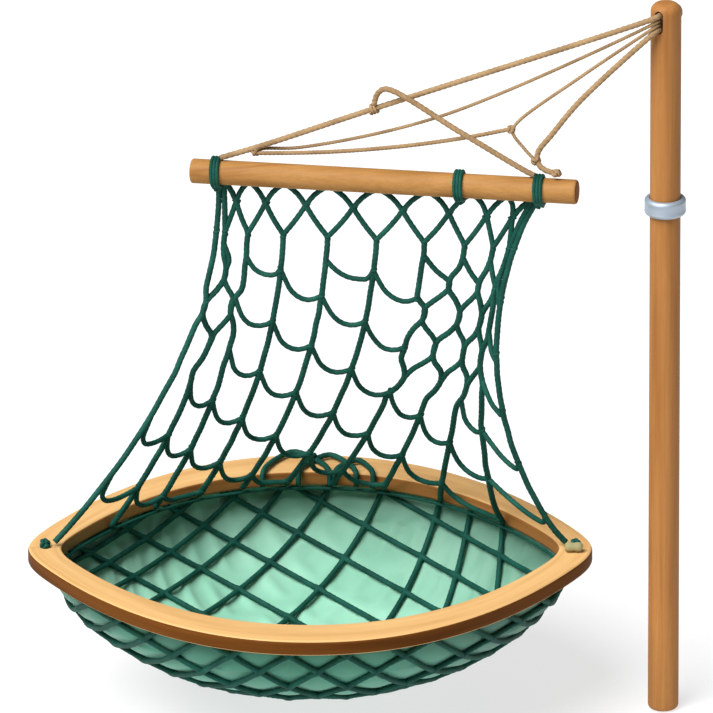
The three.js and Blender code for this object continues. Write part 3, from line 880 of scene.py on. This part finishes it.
def bag_depth_at(x, y, a, b, depth):
    """Height of the bag's surface over a plan point, and how far out it is, from 0 to 1."""
    dx, dy = np.abs(np.asarray(x) - HOOP_X) / a, np.abs(np.asarray(y)) / b
    low, high = np.full(dx.shape, 1e-4), np.full(dx.shape, 1.6)
    for _ in range(34):
        s = (low + high) / 2
        c = np.minimum(dx / s, 1)
        value = np.where(dx >= s, 2, dy / (s * np.maximum(lens(c, bag_power(np.minimum(s, 1))), 1e-9)))
        low, high = np.where(value > 1, s, low), np.where(value > 1, high, s)
    s = (low + high) / 2
    return BAG_TOP - depth * np.sqrt(np.maximum(0, 1 - s * s)), s


def nearest(values, levels):
    """How far each value is from the nearest level."""
    return np.min(np.abs(values[..., None] - levels), axis=-1)


class NetLattice:
    """Two families of strands over the bag, as level lines of two fields over its surface.

    `down` measures the way down the bag from one side of the rim: the back for the netting
    inside the bag, and the front for the netting outside it."""

    WALL = 0.95  # further out than this, the bag's wall is too steep for a grid over its plan

    def __init__(self, inside):
        self.inside = inside
        offset = -LINER_WALL - NET_R - 0.3 * MM if inside else NET_R + 0.3 * MM
        self.a, self.b, self.depth = BAG_A + offset, BAG_B + offset, BAG_DEPTH + offset
        self.x = np.arange(-self.a, self.a + NET_GRID / 2, NET_GRID)
        self.y = np.arange(self.b + NET_GRID, -self.b - NET_GRID, -NET_GRID)
        if not inside:
            self.y = -self.y
        gx, gy = np.meshgrid(self.x, self.y)
        z, s = bag_depth_at(gx + HOOP_X, gy, self.a, self.b, self.depth)
        slanted = self.slanted(gy, z)
        rise = np.diff(slanted, axis=0)
        length = np.hypot(np.diff(z, axis=0), NET_GRID)
        step = np.where(s[1:] < 1, np.maximum(rise, 0.5 * length), rise)
        self.down = np.vstack([slanted[:1], slanted[:1] + np.cumsum(step, axis=0)])

    @staticmethod
    def slanted(y, z):
        return -math.cos(SLANT) * z - math.sin(SLANT) * y

    def fields(self, x, y, z, s):
        """Both fields' values at points of the bag's surface."""
        k = np.minimum(1, self.WALL / np.maximum(s, 1e-6))
        px, py = (x - HOOP_X) * k, y * k
        down = self.sample(px, py)
        pz, _ = bag_depth_at(px + HOOP_X, py, self.a, self.b, self.depth)
        climb = np.where(k < 1, self.slanted(y, z) - self.slanted(py, pz), 0)
        away = np.sqrt((x - HOOP_X - px) ** 2 + (y - py) ** 2 + (z - pz) ** 2)
        far = np.where(k < 1, 0.5 * away, 0)
        side = np.clip(0.5 + (y if self.inside else -y) / (0.3 * self.b), 0, 1)
        down = down + side * climb + (1 - side) * far
        if self.inside:
            # the first family fans out from the curtain's feet
            lean = 0.65 - 3.2 * (x + 0.346)
            return [x + lean * (down + 0.210), down - INNER_SLANT * x]
        return [down - OUTER_SLANT * x, down + OUTER_SLANT * x]

    def sample(self, x, y):
        """`down` at plan points, between the grid's."""
        col = np.clip((x - self.x[0]) / NET_GRID, 0, len(self.x) - 1.001)
        row = np.clip((y - self.y[0]) / (self.y[1] - self.y[0]), 0, len(self.y) - 1.001)
        c, r = col.astype(int), row.astype(int)
        fc, fr = col - c, row - r
        top = self.down[r, c] * (1 - fc) + self.down[r, c + 1] * fc
        low = self.down[r + 1, c] * (1 - fc) + self.down[r + 1, c + 1] * fc
        return top * (1 - fr) + low * fr

    def distances(self, x, y, z, s):
        """About how far points are from the nearest strand of each family."""
        values = self.fields(x, y, z, s)
        return [nearest(v, levels) for v, levels in zip(values, self.levels)]

    def lines(self):
        """Each family's strands: for each, its points and how close it is to the other family's."""
        points, s = bag_grid(120, 480, self.a, self.b, self.depth, 89.0)
        values = self.fields(points[..., 0], points[..., 1], points[..., 2], s)
        for family in (0, 1):
            other = nearest(values[1 - family], self.levels[1 - family])
            packed = np.concatenate([points, other[..., None]], -1)
            for level in self.levels[family]:
                for line in trace(values[family] - level, packed):
                    yield family, line


def trace(value, packed):
    """The zero lines of a field over a grid that closes on itself across its columns."""
    rows, cols = value.shape
    up = value > 0
    right = np.roll(up, -1, axis=1)
    mixed = (up[:-1] != up[1:]) | (right[:-1] != right[1:]) | (up[:-1] != right[:-1])
    places, links = {}, {}

    def crossing(r0, c0, r1, c1):
        c0, c1 = c0 % cols, c1 % cols
        key = (r0, c0, r1, c1)
        if key not in places:
            f = value[r0, c0] / (value[r0, c0] - value[r1, c1])
            places[key] = packed[r0, c0] * (1 - f) + packed[r1, c1] * f
        return key

    for r, c in zip(*np.nonzero(mixed)):
        r, c = int(r), int(c)
        edges = [(r, c, r, c + 1), (r, c + 1, r + 1, c + 1), (r + 1, c, r + 1, c + 1), (r, c, r + 1, c)]
        cut = [crossing(*e) for e in edges if up[e[0], e[1] % cols] != up[e[2], e[3] % cols]]
        for k in range(0, len(cut) - 1, 2):
            links.setdefault(cut[k], []).append(cut[k + 1])
            links.setdefault(cut[k + 1], []).append(cut[k])
    used = set()
    for start in [k for k in links if len(links[k]) == 1] + list(links):
        line, here = [], start
        while here is not None and here not in used:
            used.add(here)
            line.append(places[here])
            here = next((k for k in links[here] if k not in used), None)
        if len(line) > 16:
            yield np.array(line)


def smoothed(points, passes):
    """The same points, each moved between its neighbours."""
    points = points.copy()
    for _ in range(passes):
        points[1:-1] = points[1:-1] / 2 + (points[:-2] + points[2:]) / 4
    return points


def curtain_feet():
    """Where the running strands meet the hoop, apart from the two at its tips."""
    return [np.array(curtain_point(i, 1)) for i in range(1, NET_COLUMNS)]


def lay_bag_net(lattice, name, node, radius):
    """Both families of strands, swollen where they are knotted together."""
    soup = Soup()
    sign = -1 if lattice.inside else 1
    feet = curtain_feet()
    for family, line in lattice.lines():
        line = smoothed(line, 6)
        near = np.exp(-((line[:, 3] / (5 * MM)) ** 2))
        line[:, 2] -= sign * near * (0.8 * MM if family else -0.4 * MM)
        run = run_lengths(line[:, :3])
        if run[-1] < SHORTEST_STRAND:
            continue
        at = np.linspace(0, run[-1], int(run[-1] / NET_GRID) + 2)
        line = np.column_stack([np.interp(at, run, line[:, k]) for k in range(4)])
        if lattice.inside and family == 0:
            # the strands that hang from the curtain's running strands
            for end in (0, -1):
                foot = min(feet, key=lambda p: np.linalg.norm(p - line[end, :3]))
                if np.linalg.norm(foot - line[end, :3]) < FOOT_REACH and line[end, 1] > 0:
                    extra = np.append(foot, 0.02)
                    line = np.vstack([extra, line]) if end == 0 else np.vstack([line, extra])
        near = np.exp(-((line[:, 3] / (4.5 * MM)) ** 2))
        lay_rope(soup, line[:, :3], radius, TWINE_PITCH, depth=0.13, swell=1 + 0.25 * near)
    outfit(soup.build(name), *GREEN_HOOP, [node])


def make_lattices():
    """The inner netting's first family hangs from the feet of the curtain."""
    inner = NetLattice(True)
    rim = []
    for foot in curtain_feet():
        t = math.acos(max(-1, min(1, (foot[0] - HOOP_X) / inner.a)))
        y = inner.b * float(lens(math.cos(t)))
        rim.append((foot[0], y))
    rim = np.array(rim)
    ones = np.ones(len(rim))
    levels = list(inner.fields(rim[:, 0], rim[:, 1], BAG_TOP * ones, ones)[0])
    levels.insert(-1, (levels[-1] + levels[-2]) / 2)
    levels += [levels[-1] + SIDE_SPACING, levels[-1] + 2 * SIDE_SPACING, levels[0] - SIDE_SPACING]
    inner.levels = [np.array(levels), np.arange(-0.3, 0.6, INNER_SPACING) + 0.013]
    outer = NetLattice(False)
    outer.levels = [np.arange(-0.4, 0.9, OUTER_SPACING), np.arange(-0.6, 0.6, OUTER_SPACING)]
    return inner, outer


def bag_grid(rows, cols, a, b, depth, lowest=90.0):
    """Points all over the bag's surface: rows from the rim down, columns round it."""
    phi = np.radians(np.linspace(0, lowest, rows))[:, None]
    t = (np.arange(cols) * TAU / cols)[None, :]
    s = np.cos(phi) * np.ones_like(t)
    c = np.cos(t)
    x = a * s * c + HOOP_X
    y = np.sign(np.sin(t)) * b * s * lens(c, bag_power(s))
    z = BAG_TOP - depth * np.sin(phi) * np.ones_like(t)
    return np.stack([x, y, z], -1), s


def bag_surface(rows, cols):
    """The liner's two faces, which stand out a little between the strands of the outer netting."""
    a, b, depth = BAG_A, BAG_B, BAG_DEPTH
    points, s = bag_grid(rows, cols, a, b, depth)
    out = (points - (HOOP_X, 0, BAG_TOP)) / np.array([a, b, depth]) ** 2
    out /= np.linalg.norm(out, axis=-1)[..., None] + 1e-12
    lift = np.full(s.shape, BULGE)
    for distance in OUTER_NET.distances(points[..., 0], points[..., 1], points[..., 2], s):
        lift = lift * (1 - np.exp(-((distance / BULGE_EDGE) ** 2)))
    phi = np.linspace(0, math.pi / 2, rows)[:, None]
    t = (np.arange(cols) * TAU / cols)[None, :]
    fold = np.sin(9 * t + 1.3 * np.sin(3 * t)) * np.exp(-((phi - 0.35) / 0.35) ** 2)
    lift = np.clip(lift + FOLD * fold, -2 * MM, BULGE) * np.clip(phi / 0.08, 0, 1)
    inner, _ = bag_grid(rows, cols, a - LINER_WALL, b - LINER_WALL, depth - LINER_WALL)
    return points + out * lift[..., None], inner + out * lift[..., None]


INNER_NET, OUTER_NET = make_lattices()


def make_liner():
    rows, cols = 110, 360
    girth, drop, hem_step = 1.5, 0.25, 0.005  # in metres, for the weave
    outer, inner = bag_surface(rows, cols)

    def uv(i, j):
        return np.stack([j / cols * girth, i / (rows - 1) * drop], -1)

    soup = Soup()
    soup.sleeve(outer, uv)
    outer_faces = len(soup.faces)
    soup.sleeve(inner[:, ::-1], uv)
    hem = np.stack([inner[0], outer[0]])
    soup.sleeve(hem, lambda i, j: np.stack([i * LINER_WALL, j * hem_step], -1))
    liner = soup.build("bag_liner_cloth")
    # the outside faces take the darker copy of the cloth, as painted shade
    for face in liner.data.polygons[:outer_faces]:
        face.material_index = 1
    weld(liner, 2e-5)
    outfit(liner, "hoop", "mint_liner", [LINER_CLOTH, LINER_OUTSIDE_SHADED], ["bag_liner"])


def make_hem():
    """The rope that the liner and both nets are seized to, close under the hoop's inner edge."""
    t = np.linspace(0, TAU, 721)
    x, y = hoop_outline(t, INNER_A - 2.2 * MM, INNER_B - 2.2 * MM)
    path = even(np.stack([x, y, np.full_like(x, HOOP_BOTTOM - 1.5 * MM)], -1), 1.6 * MM)
    rope_piece("hoop_hem_rope", path, 1.6 * MM, 11 * MM, GREEN_HOOP, depth=0.15, sides=10, closed=True)


make_liner()
lay_bag_net(OUTER_NET, "bag_netting_outer", "bag_net_outer", NET_R * 0.95)
lay_bag_net(INNER_NET, "bag_netting_inner", "bag_net_inner", NET_R * 0.92)
make_hem()


# ---- netting curtain ----------------------------------------------------------------------
def crossings(column):
    """How far down each cross strand meets a running strand."""
    fall = FIRST_V + ROW_FALL * column
    rows = range(-int(fall / ROW_V), 8)
    return [fall + ROW_V * row for row in rows if FORK_V < fall + ROW_V * row < 0.97]


def ease(f):
    """From 0 to 1, slow at both ends."""
    f = min(1.0, max(0.0, f))
    return f * f * (3 - 2 * f)


def strand_column(column, v):
    """A strand swings to and fro between its neighbours where the meshes are diamonds."""
    swing = max(-1.0, min(1.0, 1.35 * math.cos(math.pi * (v - FORK_V) / DIAMOND_ROW)))
    start = FORK_V + 0.02
    for strands, end in DIAMONDS:
        if column in strands:
            share = ease((v - start) / (FORK_V + DIAMOND_ROW - start)) * ease((end + 0.13 - v) / 0.18)
            k = strands.index(column)
            toward = k + (1 if (swing > 0) == (k % 2 == 0) else -1)
            if 0 <= toward < len(strands):
                return column + (strands[toward] - column) / 2 * abs(swing) * share
    return column


def in_diamonds(i, v):
    """Whether the net between strands i and i + 1 hangs in diamond meshes at v."""
    return any(i in strands and i + 1 in strands and v < end + 0.03 for strands, end in DIAMONDS)


class CurtainNet:
    """The curtain's strands and knots, by places on it: a column and how far down."""

    def __init__(self):
        self.soup = Soup()
        self.random = random.Random(11)

    def twine(self, places, r=NET_R, wander=0.0):
        points = [curtain_point(*place) for place in places]
        for p in points[1:-1]:
            p.x += self.random.uniform(-wander, wander)
            p.y += self.random.uniform(-wander, wander)
        lay_rope(self.soup, spline(points, 2.0 * MM), r, TWINE_PITCH)

    def knot(self, column, v, dc=0.0, dv=0.02):
        at = curtain_point(column, v)
        axis = (curtain_point(column + dc, v + dv) - at).normalized()
        start = self.random.uniform(0, TAU)
        wrap = coil_round(at, axis, NET_R * 0.55, 1.2, NET_R * 1.7, start)
        lay_rope(self.soup, even(wrap, 1.1 * MM), NET_R * 0.68, 16 * MM, depth=0.1, sides=10)

    def running_strands(self):
        """Each runs down from its fork, whose arms reach up to the arches or to the head."""
        last = NET_COLUMNS
        for i in range(last + 1):
            run = [FORK_V + (1 - FORK_V) * k / 26 for k in range(27)]
            self.twine([(strand_column(i, v), v) for v in run], NET_R * 1.04, wander=0.35 * MM)
            self.knot(i, FORK_V)
            for side in (-0.5, 0.5):
                if 1 < i + side < last - 1:
                    self.twine([(i, FORK_V), (i + side * 0.42, 0.100), (i + side * 0.78, 0.068),
                                (i + side, ARCH_V)], NET_R * 0.95)
            if i < 2 or i > last - 2:
                head = i * 0.8 if i < 2 else last - (last - i) * 0.8
                self.twine([(i, FORK_V), (i + (head - i) * 0.6, 0.06), (head, -0.006)])

    def added_strands(self):
        """Each starts from a V between two running strands and joins the left one lower down."""
        for strands, end in DIAMONDS:
            for i in strands:
                if i % 1 == 0:
                    continue
                start = FORK_V + DIAMOND_ROW
                run = [start + (end - 0.02 - start) * k / 14 for k in range(15)]
                foot = end + 0.01
                places = [(strand_column(i, v), v) for v in run] + [(strand_column(i - 0.5, foot), foot)]
                self.twine(places, NET_R * 0.98, wander=0.35 * MM)
                self.twine([(i - 0.5, FORK_V + 0.035), (i - 0.15, start - 0.03), places[0]], NET_R * 0.95)

    def arches(self):
        last = NET_COLUMNS
        for k in range(1, last - 2):
            j = k + 0.5
            self.twine([(j, ARCH_V), (j + 0.22, 0.012), (j + 0.5, -0.008), (j + 0.78, 0.012),
                        (j + 1, ARCH_V)], NET_R * 0.95)
            self.knot(j, ARCH_V, 0.1, 0.0)
        self.knot(last - 1.5, ARCH_V, 0.1, 0.0)
        self.twine([(0, 0), (0.8, -0.004), (1.2, 0.012), (1.5, ARCH_V)])
        self.twine([(last, 0), (last - 0.8, -0.004), (last - 1.2, 0.012), (last - 1.5, ARCH_V)])

    def cross_strands(self):
        """They droop from each running strand to the next one on its right."""
        droop = [(0.0, 0.0), (0.14, 0.42), (0.32, 0.84), (0.52, 1.10), (0.72, 1.19), (0.88, 1.13),
                 (1.0, 1.0)]
        for i in range(NET_COLUMNS):
            for v in crossings(i):
                if in_diamonds(i, v):
                    continue
                leave = max(v, 0.2)
                arrive = min(v + ROW_FALL, 0.985)
                start, end = strand_column(i, leave), strand_column(i + 1, arrive)
                fall = arrive - leave
                depth = max(fall, 0.045)
                loop = [(start + (end - start) * f, min(leave + depth * g, 0.992)) for f, g in droop[:-1]]
                loop.append((end, arrive))
                self.twine(loop, NET_R * 0.9, wander=0.5 * MM)
                self.knot(end, arrive)


def make_curtain():
    net = CurtainNet()
    net.running_strands()
    net.added_strands()
    net.arches()
    net.cross_strands()
    curtain = net.soup.build("curtain_netting")
    outfit(curtain, None, "green_cord", GREEN_FIBRE, ["curtain_net"])
    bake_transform(curtain)


def make_head_rope():
    """It runs behind the bar's underside, and the arches hang from it."""
    up = Vector((0, 0.5 * MM, 3.6 * MM))
    edge = [curtain_point(i / 2, 0) + up for i in range(2 * NET_COLUMNS + 1)]
    rope_piece("head_rope", spline(edge, 1.6 * MM), 2.6 * MM, 17 * MM, GREEN_CURTAIN, depth=0.16)


make_curtain()
make_head_rope()


# ---- ties at the hoop -------------------------------------------------------------------
def on_lath(t, across, lift):
    """A point over the hoop at angle t; across runs from 0 at its inner edge to 1 at its outer."""
    inner, outer = hoop_outline(t, INNER_A, INNER_B), hoop_outline(t, HOOP_A, HOOP_B)
    x, y = [float(i + (o - i) * across) for i, o in zip(inner, outer)]
    return Vector((x, y, HOOP_TOP + NET_R + lift * MM))


def make_back_lashing():
    """Three loops of twine over the back of the hoop, round the tie."""
    soup = Soup()
    for start, end, reach in ((0.20, -0.08, 0.90), (0.05, -0.19, 0.72), (-0.10, -0.26, 0.50)):
        steps = [(0.0, -0.16, -15), (0.02, -0.04, -1), (0.25, 0.62 * reach, 1), (0.5, reach, 2),
                 (0.75, 0.62 * reach, 1), (0.98, -0.04, -1), (1.0, -0.16, -15)]
        points = [on_lath(QUARTER + start + (end - start) * f, g, lift) for f, g, lift in steps]
        lay_rope(soup, spline(points, 2 * MM), NET_R * 0.95, TWINE_PITCH)
    outfit(soup.build("back_lashing"), *GREEN_HOOP)


def make_tip_ties():
    for x, name in zip(TIP_X, ("left", "right")):
        line = [Vector((x, 0, HOOP_BOTTOM - 5 * MM)), Vector((x, 0, HOOP_TOP + 5 * MM))]
        rope_piece(f"tip_cord_{name}", spline(line, 1.2 * MM), 3.2 * MM, 16 * MM, GREEN_HOOP,
                   [f"tip_tie_{name}"], depth=0.15)
        for end, z, radius, cord_r in (("top", HOOP_TOP + 3.6 * MM, 5.8, 2.0),
                                       ("stop", HOOP_BOTTOM - 4.6 * MM, 6.4, 2.2)):
            round_knot(f"tip_cord_{name}_{end}", Vector((x, 0, z)) / MM, radius, cord_r, GREEN_HOOP)


def make_toggle():
    end = [(5, 3), (4.8, 7), (3.4, 8.8), (0, 9)]  # radius and height, in millimetres
    peg = [(r * MM, h * MM) for r, h in mirror(end) + [(4.2, 0)] + end]
    place = Matrix.Translation((TIP_X[1] - 2 * MM, -12.5 * MM, HOOP_TOP + 5.4 * MM))
    toggle = turned("toggle_peg", peg, 32, place @ Matrix.Rotation(QUARTER, 4, "Y"))
    outfit(toggle, "hoop", "tan_cord", TOGGLE_WOOD, ["tip_toggle"])


def make_hoop_ties():
    make_tip_ties()
    make_toggle()
    tie = Vector((HOOP_X, HOOP_B - HOOP_SIDE_WIDTH / 2, HOOP_TOP + 5.0 * MM))
    round_knot("back_tie_knot", tie / MM, 7.4, 2.5, GREEN_HOOP, ["back_tie"], spin=0.5)
    make_back_lashing()


make_hoop_ties()


# ---- stage and light --------------------------------------------------------------------
FLOOR_SIZE = 14
FLOOR_GREY = (0.30, 0.30, 0.30)
FLOOR_GLOW = 0.70  # a white floor, with soft shadows that stay pale
SUN_STRENGTH = 5.2
SUN_SPREAD = 0.75
SUN_DIRECTION = (0.9, 0.95, -1.7)
SKY_STRENGTH = 0.17


def make_stage():
    bpy.ops.mesh.primitive_plane_add(size=FLOOR_SIZE, location=(HOOP_X, 1.5, -0.0005))
    floor = bpy.context.object
    floor.name = "studio_floor"
    s = Shader("floor_look")
    s.set(Base_Color=FLOOR_GREY, Roughness=0.9, Emission_Color=(1, 1, 1), Emission_Strength=FLOOR_GLOW)
    floor.data.materials.append(s.material)


def make_light():
    sun = bpy.data.lights.new("key", "SUN")
    sun.energy = SUN_STRENGTH
    sun.angle = SUN_SPREAD
    key = bpy.data.objects.new("key", sun)
    key.rotation_euler = Vector(SUN_DIRECTION).to_track_quat("-Z", "Y").to_euler()
    bpy.context.scene.collection.objects.link(key)
    world = bpy.data.worlds.new("world")
    bpy.context.scene.world = world
    world.use_nodes = True
    sky = world.node_tree.nodes["Background"]
    sky.inputs["Color"].default_value = (1, 1, 1, 1)
    sky.inputs["Strength"].default_value = SKY_STRENGTH
    bpy.context.scene.view_settings.view_transform = "Standard"


make_stage()
make_light()
